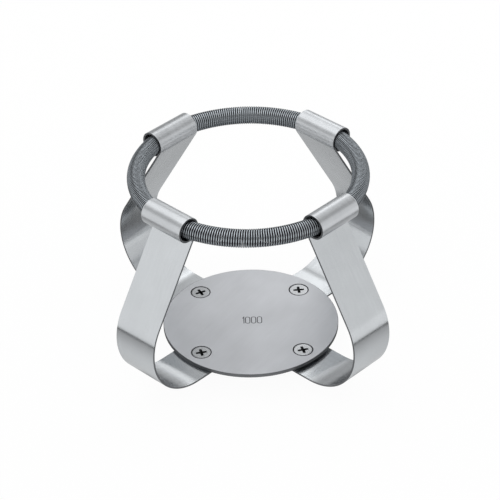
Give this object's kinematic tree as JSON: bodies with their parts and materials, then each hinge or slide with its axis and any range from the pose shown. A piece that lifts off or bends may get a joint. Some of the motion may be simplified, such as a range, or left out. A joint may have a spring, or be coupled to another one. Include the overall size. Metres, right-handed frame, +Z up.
{
  "type": "flask clamp",
  "caption": "Spring flask clamp: crossed steel straps rise round a support disc and end in rolled eyes that carry an endless coil spring; countersunk screws fix it to a platform.",
  "frame": {"origin": "centre of the lower strap's underside, the face that lies on the platform", "axes": "+Z up along the flask's axis, -Y towards the front of the picture, +X to its right; the straps lie along the diagonals of X and Y"},
  "size_m": [0.1044, 0.1044, 0.085],
  "materials": {
    "strap_steel": "fine grain along the strap",
    "disc_steel": "brushed one way",
    "screw_steel": "turned, semi-bright",
    "spring_steel": "drawn wire, bright"
  },
  "bodies": {
    "clamp": {"lower_strap": "strap_steel", "upper_strap": "strap_steel", "support_disc": "disc_steel", "screw_front_left": "screw_steel", "screw_front_right": "screw_steel", "screw_back_left": "screw_steel", "screw_back_right": "screw_steel"},
    "ring": {"spring_ring": "spring_steel"}
  },
  "joints": [
    {"name": "ring_round", "type": "hinge", "parent": "clamp", "child": "ring", "pos_m": [0, 0, 0.073], "axis": [0, 0, 1], "continuous": true}
  ]
}
